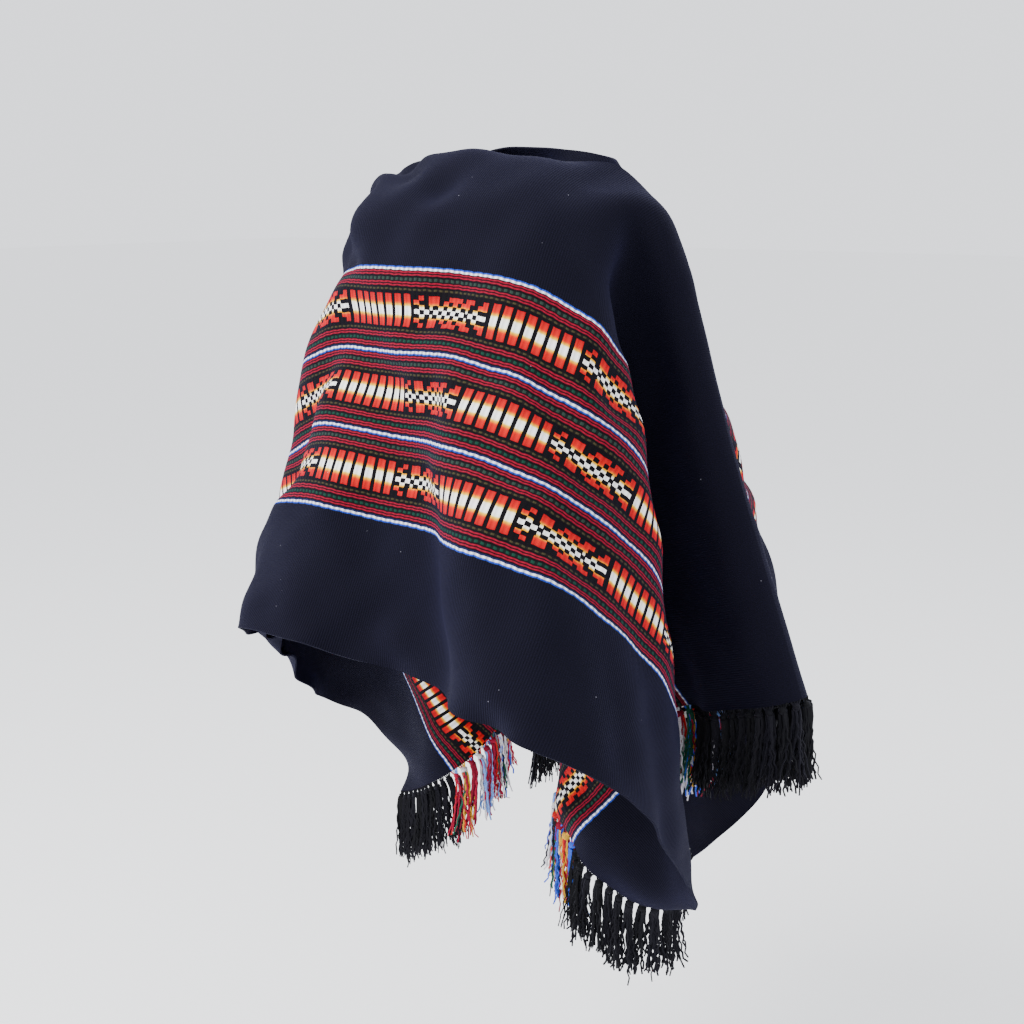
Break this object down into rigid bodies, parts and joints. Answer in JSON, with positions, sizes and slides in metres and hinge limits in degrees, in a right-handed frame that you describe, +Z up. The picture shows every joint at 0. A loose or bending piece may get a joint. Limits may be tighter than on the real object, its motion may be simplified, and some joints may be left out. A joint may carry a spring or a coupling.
{
  "type": "poncho",
  "caption": "Woven poncho hanging as worn: two flat halves joined along the shoulders, a head slit between them and a knotted fringe at both warp ends.",
  "frame": {"origin": "middle of the head slit, on the shoulder line where the wearer's shoulders hold the cloth", "axes": "+Z up, the wearer faces -Y, +X to the wearer's left"},
  "size_m": [0.7675, 0.6524, 0.9527],
  "materials": {
    "front_cloth": "matte warp-faced wool, near-black ground with patterned bands",
    "back_cloth": "matte warp-faced wool, near-black ground with patterned bands",
    "fringe": "matte twisted wool yarn"
  },
  "bodies": {
    "root": {"front_panel": "front_cloth", "back_panel": "back_cloth", "fringe_front_left": "fringe", "fringe_back_left": "fringe", "fringe_front_right": "fringe", "fringe_back_right": "fringe"}
  },
  "joints": []
}
